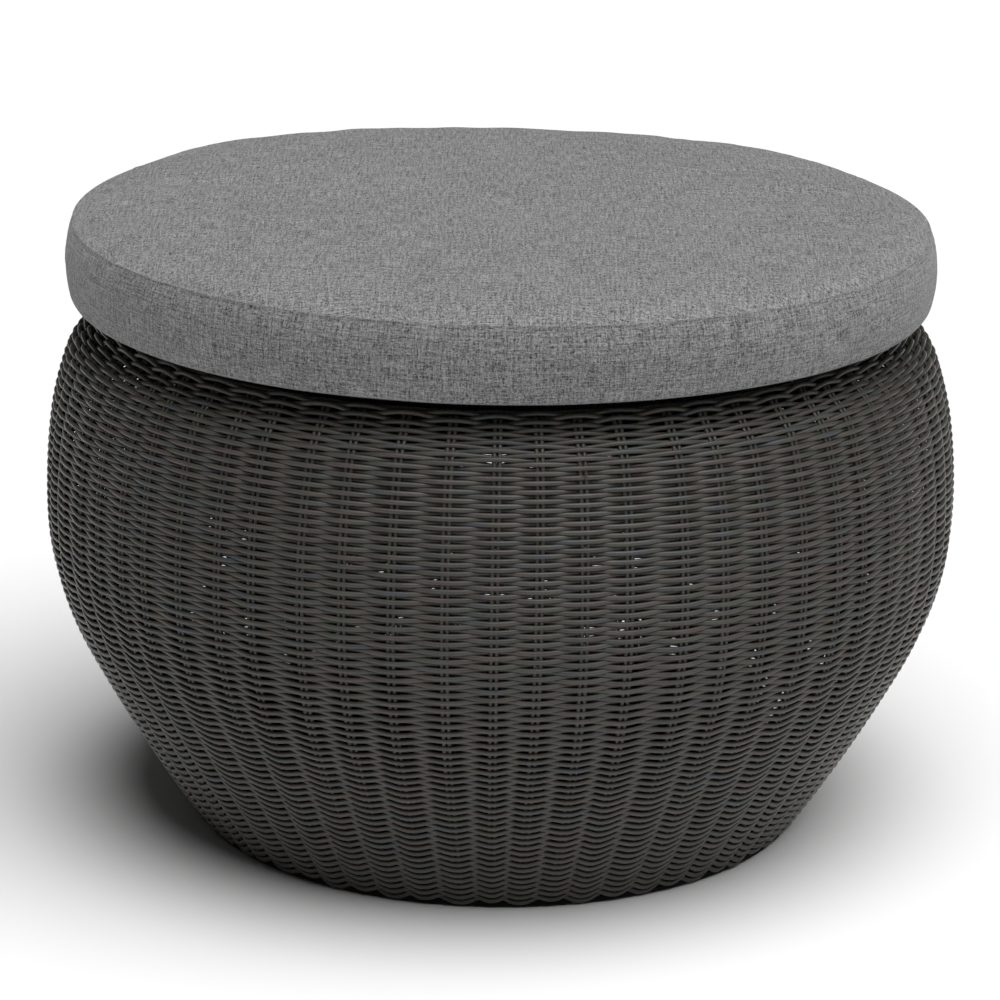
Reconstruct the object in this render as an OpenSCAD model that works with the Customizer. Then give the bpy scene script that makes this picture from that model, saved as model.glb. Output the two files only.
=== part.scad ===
// Round storage ottoman: a woven basket body on a welded metal frame,
// a lift-off woven lid that drops into the mouth, and a loose boxed cushion.
// Millimetres, +Z up, origin on the floor under the middle of the body.

/* [Body] */
// Outer radius of the body at the belly
belly_r = 350; // [300:5:400]
// Height of the basket's rim above the floor
rim_top = 398.5; // [392:0.5:402]
// Diameter of the round weaving strand
strand_d = 3.3; // [2.8:0.1:3.5]
// Width of one upright stake
stake_d = 3.2; // [2.8:0.1:3.6]
// Number of stake pairs round the body
stake_pairs = 63; // [55:2:75]

/* [Frame] */
// Radius to the outside of the base ring
base_r = 238; // [232:0.5:240]
// Width of the flat bar that the base ring is rolled from
base_bar_w = 24; // [20:1:28]
// Thickness of the flat bars in the base
base_bar_t = 5; // [5:0.5:7]
// Diameter of the rim tube
rim_tube_d = 12; // [10:1:12]
// Number of upright ribs, each with a lid rest tab
rib_count = 6; // [4:1:8]
// Width of a rib
rib_w = 12; // [8:1:16]

/* [Lid] */
// Radius to the middle of the lid's ring tube
lid_ring_r = 274.5; // [272:0.5:275]
// Diameter of the lid's ring tube
lid_tube_d = 16; // [14:1:16]
// Width of the flat bars across the lid
lid_bar_w = 22; // [16:1:30]

/* [Cushion] */
// Largest radius of the cushion
cushion_r = 330; // [320:0.5:340]
// Height of the side band, from the underside to the top seam
band_h = 55; // [45:1:65]
// Rise of the crowned top above the seam
crown_h = 15.5; // [15:0.5:40]
// Thickness of the cover fabric and its lining
cover_t = 1.2; // [0.8:0.1:2]
// Angle that the zip covers round the back of the band
zip_angle = 70; // [40:1:120]

/* [Hidden] */
$fn = 96;

black = "#1c1c1d";
resin = "#4a4742";
cloth = "#808080";

// The wall's outline, as shares of the belly radius, from the floor up to the rim
WALL = [
    [0.677, 0], [0.771, 0.143], [0.871, 0.314], [0.95, 0.471], [0.991, 0.614],
    [1, 0.757], [0.988, 0.909], [0.963, 1.017], [0.938, 1.075], [0.885, 1.125]
];
wall_last = len(WALL) - 1;
// Places along the outline where the weave's lower, belly and upper parts start and end
WEAVE_SPLITS = [0.19, 2.7, 6.1, 8.55];
band_steps = 5;
rib_steps = 36;

// Depths under the outer face of the weave: front strands, stakes, back strands, ribs
front_depth = strand_d;
stake_depth = front_depth + stake_d;
back_depth = stake_depth + strand_d;
rib_gap = 0.6;
rib_top_depth = back_depth + rib_gap;
rib_t = 5;
rib_bottom_depth = rib_top_depth + rib_t;
stake_gap = 0.1;
stake_pair_w = 2.4 * stake_d;

glide_h = 1;
glide_r = 8;
glide_stem_r = 2.95;
glide_bore_r = 3;
glide_stem_h = 4;
glide_count = 6;
base_top = glide_h + base_bar_t;
base_edge = 1;
base_inner_r = base_r - base_bar_w;
glide_ring_r = base_inner_r + glide_r + 0.5;

floor_t = 4;
floor_r = 226;
screw_ring_r = 150;
screw_r = 1.9;
screw_bore_r = 2;
screw_head_r = 4;
screw_head_h = 2;

border_t = 2;
rim_r = 300;
rim_z = rim_top - border_t - rim_tube_d / 2;
hoop_t = 4;
hoop_h = 15;
hoop_z = WALL[5][1] * belly_r;
hoop_r = belly_r - rib_bottom_depth - 0.1;

tab_t = 4;
tab_w = 20;
tab_top = rim_z - rim_tube_d / 2;
tab_inner_r = 266;
tab_outer_r = rim_r + 7;

bumper_h = 6.6;
rest_gap = 0.2;
lid_border_t = 2.7;
lid_outer = lid_tube_d / 2 + lid_border_t;
lid_z = tab_top + bumper_h + lid_outer;
lid_top = lid_z + lid_outer;
lid_bar_t = 5;
lid_bar_z = lid_z - 2.5;
lid_panel_t = 4;
lid_panel_z = lid_bar_z + lid_bar_t;
lid_panel_top = lid_panel_z + lid_panel_t;
lid_panel_r = lid_ring_r - lid_outer - 0.1;
bumper_r = 6;

cushion_z = lid_top + 0.4;
seam_z = cushion_z + band_h;
seam_r = cushion_r - 7;
top_z = seam_z + crown_h;
tab_l = 60;
tab_h = 25;
tab_ring_r = 190;
hook_t = 1.8;
loop_gap = 0.3;

// Corner points of the side band's curve and of the crown's curve
BAND = [
    [cushion_r - 14, cushion_z], [cushion_r + 4, cushion_z],
    [cushion_r + 3, cushion_z + 0.62 * band_h], [seam_r, seam_z]
];
CROWN = [
    [seam_r, seam_z], [seam_r - 18, seam_z + 0.42 * crown_h],
    [0.62 * seam_r, top_z], [0, top_z]
];
curve_steps = 16;
zip_from = 0.34;
zip_to = 0.58;
zip_mid = (zip_from + zip_to) / 2;
chain_half = 0.02;
chain_t = 0.8;
slider_gap = 0.3;
slider_w = 12;
slider_h = 8;
slider_t = 2.2;
pull_w = 6;
pull_h = 16;
pull_t = 1.4;
sewn_gap = 0.05;

function lerp_cubic(a, b, c, d, t) =
    0.5 * (2 * b + (c - a) * t + (2 * a - 5 * b + 4 * c - d) * t * t
    + (3 * b - a - 3 * c + d) * t * t * t);

// The wall's outer face at place u, from 0 at the floor to wall_last at the rim
function wall(u) =
    let (i = min(max(floor(u), 0), wall_last - 1), t = u - i)
    belly_r * lerp_cubic(
        WALL[max(i - 1, 0)], WALL[i], WALL[i + 1], WALL[min(i + 2, wall_last)], t);

// The direction out of the wall at place u, and a point at a depth under its face
function wall_out(u) =
    let (d = wall(u + 0.01) - wall(u - 0.01))
    [d[1], -d[0]] / norm(d);
function wall_at(u, depth) = wall(u) - depth * wall_out(u);

// Evenly spaced places, and a closed strip of the wall through such places
function places(from, to, steps) = [for (i = [0:steps]) from + (to - from) * i / steps];
function band_places(i) = places(WEAVE_SPLITS[i], WEAVE_SPLITS[i + 1], band_steps);
function wall_strip(at, outer, inner) = concat(
    [for (u = at) wall_at(u, outer)],
    [for (u = backwards(at)) wall_at(u, inner)]);

function bezier(p, t) =
    pow(1 - t, 3) * p[0] + 3 * t * pow(1 - t, 2) * p[1]
    + 3 * t * t * (1 - t) * p[2] + pow(t, 3) * p[3];
function bezier_out(p, t) =
    let (d = bezier(p, min(t + 0.01, 1)) - bezier(p, max(t - 0.01, 0)))
    [d[1], -d[0]] / norm(d);
function bezier_in(p, t, depth) = bezier(p, t) - depth * bezier_out(p, t);

// The cover's inner corner under the top seam, where the band and the crown meet
seam_in = let (a = bezier_out(BAND, 1), b = bezier_out(CROWN, 0))
    BAND[3] - cover_t * (a + b) / (1 + a * b);

function inner_band() = concat(
    [for (i = [0:curve_steps - 1]) bezier_in(BAND, i / curve_steps, cover_t)],
    [seam_in]);
function inner_crown() = concat(
    [seam_in],
    [for (i = [1:curve_steps - 1]) bezier_in(CROWN, i / curve_steps, cover_t)],
    [[0, top_z - cover_t]]);
function outer_curve(p) = [for (i = [0:curve_steps]) bezier(p, i / curve_steps)];
function backwards(p) = [for (i = [len(p) - 1:-1:0]) p[i]];

module round_ring(ring_r, ring_z, tube_r) {
    rotate_extrude()
        translate([ring_r, ring_z])
            circle(r = tube_r, $fn = 48);
}

module around(count, start = 0) {
    for (i = [0:count - 1])
        rotate([0, 0, start + i * 360 / count])
            children();
}

// The strands in front of the stakes and those behind them, over one part of the wall
module weave_band(i) {
    color(resin)
        rotate_extrude() {
            polygon(wall_strip(band_places(i), 0, front_depth));
            polygon(wall_strip(band_places(i), stake_depth, back_depth));
        }
}

// Flat bar lying along X, centred on the origin in plan
module flat_bar(length, width, z, thick) {
    translate([-length / 2, -width / 2, z])
        cube([length, width, thick]);
}

// The two halves of a bar along Y that stop at a bar lying along X
module half_bars(length, width, z, thick) {
    for (side = [-1, 1])
        translate([-width / 2, side > 0 ? width / 2 : -length / 2, z])
            cube([width, (length - width) / 2, thick]);
}

module rib_shapes(clearance = 0) {
    around(rib_count)
        translate([0, rib_w / 2 + clearance, 0])
            rotate([90, 0, 0])
                linear_extrude(rib_w + 2 * clearance)
                    polygon(wall_strip(
                        places(-0.05, 8.95, rib_steps), rib_top_depth, rib_bottom_depth));
}

module tab_shapes(clearance = 0) {
    around(rib_count)
        translate([tab_inner_r, -tab_w / 2 - clearance, tab_top - tab_t - clearance])
            cube([tab_outer_r - tab_inner_r, tab_w + 2 * clearance, tab_t + 2 * clearance]);
}

module screw_places() {
    around(4)
        translate([screw_ring_r, 0, 0])
            children();
}

module base_ring() {
    color(black)
        difference() {
            rotate_extrude()
                polygon([
                    [base_inner_r, glide_h], [base_r - base_edge, glide_h],
                    [base_r, glide_h + base_edge], [base_r, base_top - base_edge],
                    [base_r - base_edge, base_top], [base_inner_r, base_top]
                ]);
            around(glide_count)
                translate([glide_ring_r, 0, glide_h - 1])
                    cylinder(r = glide_bore_r, h = glide_stem_h + 1.2, $fn = 32);
        }
}

module base_bar_cut() {
    intersection() {
        children();
        cylinder(r = base_inner_r, h = base_top);
    }
}

module base_screw_bores() {
    screw_places()
        translate([0, 0, glide_h - 1])
            cylinder(r = screw_bore_r, h = base_bar_t + floor_t + 2, $fn = 32);
}

module base_bar_long() {
    color(black)
        difference() {
            base_bar_cut()
                flat_bar(2 * base_inner_r, base_bar_w, glide_h, base_bar_t);
            base_screw_bores();
        }
}

module base_bars_short() {
    color(black)
        difference() {
            base_bar_cut()
                half_bars(2 * base_inner_r, base_bar_w, glide_h, base_bar_t);
            base_screw_bores();
        }
}

module floor_panel() {
    color(resin)
        difference() {
            translate([0, 0, base_top])
                cylinder(r = floor_r, h = floor_t);
            base_screw_bores();
            rib_shapes(0.3);
        }
}

module floor_screws() {
    color("silver")
        screw_places()
            union() {
                translate([0, 0, base_top + floor_t])
                    cylinder(r = screw_head_r, h = screw_head_h, $fn = 32);
                translate([0, 0, glide_h + 1])
                    cylinder(r = screw_r, h = base_bar_t + floor_t - 0.5, $fn = 32);
            }
}

module glides() {
    color("#101010")
        around(glide_count)
            translate([glide_ring_r, 0, 0])
                union() {
                    cylinder(r = glide_r, h = glide_h, $fn = 48);
                    cylinder(r = glide_stem_r, h = glide_h + glide_stem_h, $fn = 32);
                }
}

module frame_ribs() {
    color(black)
        intersection() {
            rib_shapes();
            translate([0, 0, base_top])
                cylinder(r = belly_r, h = tab_top - tab_t - base_top);
        }
}

module belly_hoop() {
    color(black)
        translate([0, 0, hoop_z - hoop_h / 2])
            difference() {
                cylinder(r = hoop_r, h = hoop_h);
                translate([0, 0, -1])
                    cylinder(r = hoop_r - hoop_t, h = hoop_h + 2);
            }
}

module rim_hoop() {
    color(black)
        round_ring(rim_r, rim_z, rim_tube_d / 2);
}

module rest_tabs() {
    color(black)
        tab_shapes();
}

module stakes() {
    color(resin)
        around(stake_pairs)
            translate([0, stake_pair_w / 2, 0])
                rotate([90, 0, 0])
                    linear_extrude(stake_pair_w)
                        polygon(wall_strip(
                            concat(band_places(0), band_places(1), band_places(2)),
                            front_depth + stake_gap, stake_depth - stake_gap));
}

module weave_lower() {
    weave_band(0);
}

module weave_belly() {
    weave_band(1);
}

module weave_upper() {
    weave_band(2);
}

module rim_border() {
    color(resin)
        difference() {
            round_ring(rim_r, rim_z, rim_tube_d / 2 + border_t);
            round_ring(rim_r, rim_z, rim_tube_d / 2);
            tab_shapes(0.2);
        }
}

module lid_ring() {
    color(black)
        round_ring(lid_ring_r, lid_z, lid_tube_d / 2);
}

module lid_bar_long() {
    color(black)
        difference() {
            flat_bar(2 * lid_ring_r, lid_bar_w, lid_bar_z, lid_bar_t);
            round_ring(lid_ring_r, lid_z, lid_tube_d / 2);
            around(2)
                lid_bar_end_cut();
        }
}

// What is outside the middle of the lid's ring tube, past the end of a bar
module lid_bar_end_cut() {
    translate([lid_ring_r - 2, -lid_bar_w, lid_bar_z - 1])
        cube([lid_bar_w, 2 * lid_bar_w, lid_bar_t + 2]);
}

module lid_bars_short() {
    color(black)
        difference() {
            half_bars(2 * lid_ring_r, lid_bar_w, lid_bar_z, lid_bar_t);
            round_ring(lid_ring_r, lid_z, lid_tube_d / 2);
            around(2, 90)
                lid_bar_end_cut();
        }
}

module lid_panel() {
    color(resin)
        translate([0, 0, lid_panel_z])
            cylinder(r = lid_panel_r, h = lid_panel_t);
}

module lid_border() {
    color(resin)
        difference() {
            round_ring(lid_ring_r, lid_z, lid_outer);
            round_ring(lid_ring_r, lid_z, lid_tube_d / 2);
            around(4)
                translate([lid_ring_r - lid_outer - 2, -lid_bar_w / 2 - 0.1, lid_bar_z - 0.1])
                    cube([lid_outer + 2, lid_bar_w + 0.2, lid_bar_t + 0.2]);
        }
}

module lid_bumpers() {
    color("#101010")
        difference() {
            around(rib_count)
                translate([lid_ring_r, 0, tab_top + rest_gap])
                    cylinder(r = bumper_r, h = bumper_h + 3, $fn = 48);
            round_ring(lid_ring_r, lid_z, lid_outer);
        }
}

module tape_tabs(z, thick) {
    around(4, 45)
        translate([tab_ring_r - tab_h / 2, -tab_l / 2, z])
            cube([tab_h, tab_l, thick]);
}

module hook_tabs() {
    color(black)
        tape_tabs(lid_panel_top, hook_t);
}

module foam_core() {
    color("#e6dfc8")
        rotate_extrude()
            polygon(concat([[0, cushion_z + cover_t]], inner_band(), inner_crown()));
}

module cushion_top_panel() {
    color(cloth)
        rotate_extrude()
            polygon(concat(outer_curve(CROWN), backwards(inner_crown())));
}

// The part of the band where the zip is, from an outer to an inner depth
module zip_zone(outer, inner) {
    at = places(zip_from, zip_to, 6);
    rotate([0, 0, 90 - zip_angle / 2])
        rotate_extrude(angle = zip_angle)
            polygon(concat(
                [for (t = at) bezier_in(BAND, t, outer)],
                [for (t = backwards(at)) bezier_in(BAND, t, inner)]));
}

module cushion_side_band() {
    color(cloth)
        difference() {
            rotate_extrude()
                polygon(concat(outer_curve(BAND), backwards(inner_band())));
            zip_zone(-1, cover_t + 1);
        }
}

module cushion_bottom_panel() {
    color(cloth)
        translate([0, 0, cushion_z])
            cylinder(r = BAND[0][0] - sewn_gap, h = cover_t);
}

module zip_tape() {
    color("#2a2a2b")
        zip_zone(0, cover_t - sewn_gap);
}

module zip_chain() {
    color("#3a3a3b")
        rotate([0, 0, 91 - zip_angle / 2])
            rotate_extrude(angle = zip_angle - 2)
                polygon([
                    bezier_in(BAND, zip_mid - chain_half, -0.05),
                    bezier_in(BAND, zip_mid - chain_half, -chain_t),
                    bezier_in(BAND, zip_mid + chain_half, -chain_t),
                    bezier_in(BAND, zip_mid + chain_half, -0.05)
                ]);
}

module zip_slider() {
    place = bezier_in(BAND, zip_mid, -chain_t - slider_gap);
    lean = asin(-bezier_out(BAND, zip_mid)[1]);
    color("#3a3a3b")
        rotate([0, 0, 93 - zip_angle / 2])
            translate([place[0], 0, place[1]])
                rotate([0, lean, 0])
                    union() {
                        translate([0, -slider_w / 2, -slider_h / 2])
                            cube([slider_t, slider_w, slider_h]);
                        translate([slider_t - pull_t / 2, -pull_w / 2, -pull_h])
                            cube([pull_t, pull_w, pull_h]);
                    }
}

module loop_tabs() {
    color(black)
        tape_tabs(lid_panel_top + hook_t + loop_gap, cushion_z - lid_panel_top - hook_t - loop_gap);
}

base_ring();
base_bar_long();
base_bars_short();
floor_panel();
floor_screws();
glides();
frame_ribs();
belly_hoop();
rim_hoop();
rest_tabs();
stakes();
weave_lower();
weave_belly();
weave_upper();
rim_border();
lid_ring();
lid_bar_long();
lid_bars_short();
lid_panel();
lid_border();
lid_bumpers();
hook_tabs();
foam_core();
cushion_top_panel();
cushion_side_band();
cushion_bottom_panel();
zip_tape();
zip_chain();
zip_slider();
loop_tabs();
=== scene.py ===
import math

import bpy
import numpy as np
from mathutils import Matrix, Vector
from mathutils.kdtree import KDTree


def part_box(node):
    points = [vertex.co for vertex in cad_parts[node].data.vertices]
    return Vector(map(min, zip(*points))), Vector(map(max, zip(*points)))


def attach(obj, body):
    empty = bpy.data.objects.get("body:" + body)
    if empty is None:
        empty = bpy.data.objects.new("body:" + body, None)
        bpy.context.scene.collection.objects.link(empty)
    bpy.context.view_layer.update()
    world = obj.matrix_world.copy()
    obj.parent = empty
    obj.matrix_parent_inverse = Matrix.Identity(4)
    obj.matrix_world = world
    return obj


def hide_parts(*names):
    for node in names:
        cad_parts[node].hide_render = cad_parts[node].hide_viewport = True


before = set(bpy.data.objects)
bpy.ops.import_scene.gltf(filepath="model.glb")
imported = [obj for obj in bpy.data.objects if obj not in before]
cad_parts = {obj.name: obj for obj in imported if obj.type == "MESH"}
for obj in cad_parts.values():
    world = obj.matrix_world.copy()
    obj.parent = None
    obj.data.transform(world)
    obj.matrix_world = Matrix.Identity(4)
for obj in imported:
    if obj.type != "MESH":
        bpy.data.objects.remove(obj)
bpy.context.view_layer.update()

random = np.random.default_rng(67)

MM = 0.001
TAU = 2 * math.pi

# --- Sizes, from the frame --------------------------------------------------------------------

belly_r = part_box("weave_belly")[1].x
lower_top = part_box("weave_lower")[1].z
belly_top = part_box("weave_belly")[1].z
base_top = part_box("base_ring")[1].z

rim_low, rim_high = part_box("rim_hoop")
rim_tube_r = (rim_high.z - rim_low.z) / 2
rim_r = rim_high.x - rim_tube_r
rim_z = (rim_high.z + rim_low.z) / 2

lid_low, lid_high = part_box("lid_ring")
lid_tube_r = (lid_high.z - lid_low.z) / 2
lid_r = lid_high.x - lid_tube_r
lid_z = (lid_high.z + lid_low.z) / 2
lid_border_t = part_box("lid_border")[1].z - lid_high.z

CLOTH_T = 1.2 * MM
cushion_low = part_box("cushion_bottom_panel")[0].z
cushion_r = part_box("cushion_side_band")[1].x
seam_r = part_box("cushion_top_panel")[1].x
seam_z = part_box("cushion_top_panel")[0].z + CLOTH_T / 2
crown_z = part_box("cushion_top_panel")[1].z

# The wall's outer face from the floor up to the rim, as shares of the belly radius
WALL = np.array([
    (0.677, 0), (0.771, 0.143), (0.871, 0.314), (0.95, 0.471), (0.991, 0.614),
    (1, 0.757), (0.988, 0.909), (0.963, 1.017), (0.938, 1.075), (0.885, 1.125),
])

# How deep the middle of the weave lies under that face
WEAVE_DEPTH = 3.45 * MM

# The strand is not quite round: its section is stretched through the wall and up it
STRAND_R = 1.75 * MM
STRAND_STRETCH = (0.97, 1.06)
STAKE_PAIRS = 63
STAKE_R = 1.65 * MM
STAKE_APART = 3.9 * MM

# Millimetres by share of the way up the wall: the rows' pitch, how far a strand swings out and in,
# how far an outer float rises and an inner one sinks, and how far all floats sag between the stakes
PITCH_AT = [
    (0, 3.52), (0.15, 3.47), (0.3, 3.37), (0.45, 3.37), (0.55, 3.24), (0.7, 3.17), (0.9, 3.18), (1, 3.3),
]
SWING_AT = [(0, 2.5), (0.25, 2.2), (0.5, 1.85), (0.8, 1.7), (1, 1.9)]
FLOAT_RISE_AT = [(0, -0.9), (0.3, -0.6), (0.55, -0.2), (0.9, 0), (0.98, 0.3), (1, 1.1)]
FLOAT_SAG_AT = [(0, 2.1), (0.3, 1.6), (0.55, 0.6), (0.8, 0.1), (1, 0)]

# How much higher still its section is, by share of the way up the wall
STRAND_TALL_AT = [(0, 1.22), (0.3, 1.13), (0.55, 1.04), (0.75, 1), (1, 0.97)]
STEPS_PER_PAIR = 8
STRAND_SIDES = 8
MAX_TRIANGLES = 190000


# --- Small tools ------------------------------------------------------------------------------

def unit(v):
    return v / np.maximum(np.linalg.norm(v, axis=-1, keepdims=True), 1e-12)


def outward(heading):
    """The directions to the right of some headings in the plane of radius and height."""
    return np.column_stack([heading[:, 1], -heading[:, 0]])


def smoothed(values, width):
    """Values averaged over a bell of that many of them, without the ends that it can't reach."""
    window = np.hanning(width)
    return np.convolve(values, window / window.sum(), "valid")


def make_mesh(name, points, faces, attributes=None):
    """A mesh object from an array of points and a list of face arrays, each of one corner count."""
    sizes = np.concatenate([np.full(len(f), f.shape[1]) for f in faces])
    corners = np.concatenate([np.asarray(f, np.int32).ravel() for f in faces])
    mesh = bpy.data.meshes.new(name)
    mesh.vertices.add(len(points))
    mesh.vertices.foreach_set("co", np.asarray(points, np.float32).ravel())
    mesh.loops.add(len(corners))
    mesh.loops.foreach_set("vertex_index", corners)
    mesh.polygons.add(len(sizes))
    starts = np.concatenate([[0], np.cumsum(sizes)[:-1]])
    mesh.polygons.foreach_set("loop_start", starts.astype(np.int32))
    mesh.polygons.foreach_set("use_smooth", np.full(len(sizes), True))
    for key, values in (attributes or {}).items():
        layer = mesh.attributes.new(key, "FLOAT_VECTOR", "POINT")
        layer.data.foreach_set("vector", np.asarray(values, np.float32).ravel())
    mesh.update(calc_edges=True)
    obj = bpy.data.objects.new(name, mesh)
    bpy.context.scene.collection.objects.link(obj)
    return obj


def circle_ring(radius, sides):
    turn = np.arange(sides) * TAU / sides
    return radius * np.column_stack([np.cos(turn), np.sin(turn)])


def sweep(path, up, ring, tag=0.0, tall=1.0):
    """Points, quads and strand coordinates of a closed rod: ring carried along path.

    Its section is made tall times as high along up, which may be one number or one per point.
    """
    sides = len(ring)
    along = unit(np.gradient(path, axis=0))
    side = unit(np.cross(up, along))
    up = np.cross(along, side) * np.reshape(tall, (-1, 1))
    offset = ring[None, :, :1] * side[:, None] + ring[None, :, 1:] * up[:, None]
    points = (path[:, None] + offset).reshape(-1, 3)
    row = np.arange(len(path) - 1)[:, None] * sides
    here = np.arange(sides)[None]
    after = (here + 1) % sides
    quads = np.stack([row + here, row + after, row + sides + after, row + sides + here], -1)
    half = np.arange(sides // 2 - 1)
    cap = np.stack([half, half + 1, sides - 2 - half, sides - 1 - half], -1)
    last = (len(path) - 1) * sides
    quads = np.concatenate([quads.reshape(-1, 4), cap[:, ::-1], cap + last])
    steps = np.linalg.norm(np.diff(path, axis=0), axis=1)
    length = np.repeat(np.concatenate([[0], np.cumsum(steps)]), sides)
    strand = np.column_stack([length + tag, np.full(len(length), tag), np.zeros(len(length))])
    return points, quads, strand


def rods(name, parts):
    """One piece from several swept rods."""
    first = np.cumsum([0] + [len(p[0]) for p in parts[:-1]])
    return make_mesh(
        name,
        np.concatenate([p[0] for p in parts]),
        [np.concatenate([p[1] + start for p, start in zip(parts, first)])],
        {"strand": np.concatenate([p[2] for p in parts])},
    )


def waves(angle, turns, size, fade=1.0):
    """A smooth random function of an angle: sines of whole turns with seeded phases."""
    total = np.zeros_like(angle)
    for n in turns:
        total += np.sin(n * angle + random.uniform(0, TAU)) * size / n ** fade
    return total


def round_ring(values, place):
    """Values that stand one step apart on a closed ring, read between them at any place."""
    return np.interp(place % len(values), np.arange(len(values) + 1), np.append(values, values[0]))


def polar(radius, azimuth, height):
    return np.stack([radius * np.cos(azimuth), radius * np.sin(azimuth), height], -1)


def bezier(corners, t):
    a, b, c, d = (np.array(p) for p in corners)
    t = t[:, None]
    return (1 - t) ** 3 * a + 3 * t * (1 - t) ** 2 * b + 3 * t * t * (1 - t) * c + t ** 3 * d


def settle(piece, body, material, node):
    """Gives a piece its material and its body, and hides the CAD node that it stands for."""
    piece.data.materials.append(material)
    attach(piece, body)
    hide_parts(node)


# --- Materials --------------------------------------------------------------------------------

class Shader:
    """A node material with a Principled shader, and short calls that add nodes to it."""

    def __init__(self, name, sockets=None):
        self.material = bpy.data.materials.new(name)
        self.material.use_nodes = True
        self.tree = self.material.node_tree
        self.surface = self.tree.nodes["Principled BSDF"]
        for key, value in (sockets or {}).items():
            self.surface.inputs[key].default_value = value

    def add(self, kind, inputs=None, **settings):
        """A new node, with each input linked if it is a socket and set if it is a value."""
        node = self.tree.nodes.new("ShaderNode" + kind)
        for key, value in settings.items():
            setattr(node, key, value)
        for key, value in (inputs or {}).items():
            if isinstance(value, bpy.types.NodeSocket):
                self.tree.links.new(value, node.inputs[key])
            else:
                node.inputs[key].default_value = value
        return node

    def place(self, attribute=None):
        """The coordinates that the patterns are drawn in: a mesh attribute, or the object's own."""
        if attribute:
            return self.add("Attribute", attribute_name=attribute).outputs["Vector"]
        return self.add("TexCoord").outputs["Object"]

    def stretch(self, vector, scale, shift=(0, 0, 0)):
        inputs = {"Vector": vector, "Scale": scale, "Location": shift}
        return self.add("Mapping", inputs).outputs["Vector"]

    def noise(self, vector, scale=1.0, detail=2.0, rough=0.5):
        inputs = {"Vector": vector, "Scale": scale, "Detail": detail, "Roughness": rough}
        return self.add("TexNoise", inputs).outputs["Fac"]

    def math(self, operation, a, b=0.0, clamp=False):
        """One operation on one or two values."""
        return self.add("Math", {0: a, 1: b}, operation=operation, use_clamp=clamp).outputs[0]

    def between(self, value, low, high, new_low=0.0, new_high=1.0):
        """The value's place between low and high, carried over to a new range."""
        inputs = {
            "Value": value, "From Min": low, "From Max": high, "To Min": new_low, "To Max": new_high,
        }
        return self.add("MapRange", inputs).outputs["Result"]

    def either_way(self, value, size, low=0.25):
        """A noise value turned into a number from -size to size."""
        return self.between(value, low, 1 - low, -size, size)

    def ramp(self, value, stops):
        """A colour by value, from stops of a position and a colour."""
        node = self.add("ValToRGB", {"Fac": value})
        elements = node.color_ramp.elements
        while len(elements) < len(stops):
            elements.new(0.5)
        for element, (position, colour) in zip(elements, stops):
            element.position = position
            element.color = (*colour, 1)
        return node.outputs["Color"]

    def scaled(self, colour, value):
        """A colour times a value."""
        grey = self.add("CombineColor", {"Red": value, "Green": value, "Blue": value})
        product = self.add("Mix", data_type="RGBA", blend_type="MULTIPLY")
        sockets = {socket.name: socket for socket in product.inputs if socket.enabled}
        sockets["Factor"].default_value = 1.0
        self.tree.links.new(colour, sockets["A"])
        self.tree.links.new(grey.outputs["Color"], sockets["B"])
        return next(socket for socket in product.outputs if socket.enabled)

    def use(self, colour, roughness=None, bump=None, distance=0.1 * MM, strength=0.6):
        """Links the finished patterns to the surface, and returns the material."""
        for key, value in (("Base Color", colour), ("Roughness", roughness)):
            if value is not None:
                self.tree.links.new(value, self.surface.inputs[key])
        if bump is not None:
            node = self.add("Bump", {"Height": bump, "Distance": distance, "Strength": strength})
            self.tree.links.new(node.outputs["Normal"], self.surface.inputs["Normal"])
        return self.material


def resin_material(name, tones, rough):
    """Extruded resin strand: slow changes of colour and shade along it, fine grain, satin gloss."""
    s = Shader(name, {"Specular IOR Level": 0.36})
    strand = s.place("strand")
    slow = s.noise(s.stretch(strand, (24, 1, 1)), 1.0, 1.5)
    stops = [(i / (len(tones) - 1), tone) for i, tone in enumerate(tones)]
    tone = s.ramp(s.between(slow, 0.3, 0.7), stops)
    patches = s.noise(s.stretch(strand, (31, 3, 1), shift=(5, 0, 0)), 1.0, 3.0)
    shade = s.between(patches, 0.25, 0.75, 0.76, 1.24)
    grain = s.noise(s.stretch(s.place(), (900, 900, 900)), 1.0, 2.0)
    colour = s.scaled(tone, s.math("MULTIPLY", shade, s.between(grain, 0.2, 0.8, 0.9, 1.1)))
    worn = s.noise(s.stretch(strand, (55, 1, 1), shift=(9, 0, 0)), 1.0, 2.0)
    roughness = s.between(worn, 0.3, 0.7, rough - 0.07, rough + 0.1)
    return s.use(colour, roughness, grain, 0.12 * MM, 0.35)


def coat_material(name, colour, rough, speck=1100, strength=0.3, shine=0.35):
    """Sprayed or moulded finish: a fine orange peel, faint cloudiness and dust."""
    s = Shader(name, {"Specular IOR Level": shine})
    place = s.place()
    peel = s.noise(place, speck, 3.0)
    cloud = s.noise(place, 14, 4.0)
    tone = s.ramp(cloud, [(0.3, colour), (0.7, [1.5 * c for c in colour])])
    tone = s.scaled(tone, s.between(peel, 0.2, 0.8, 0.85, 1.15))
    roughness = s.between(cloud, 0.3, 0.7, rough - 0.06, rough + 0.08)
    return s.use(tone, roughness, peel, 0.15 * MM, strength)


def metal_material(name, colour, rough):
    """Plated metal with fine turned lines."""
    s = Shader(name, {"Metallic": 1.0})
    place = s.place()
    turned = s.noise(s.stretch(place, (500, 500, 4000)), 1.0, 2.0)
    tone = s.ramp(turned, [(0.3, [0.8 * c for c in colour]), (0.7, colour)])
    return s.use(tone, s.between(turned, 0.2, 0.8, rough - 0.1, rough + 0.1), turned, 0.05 * MM, 0.3)


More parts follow.
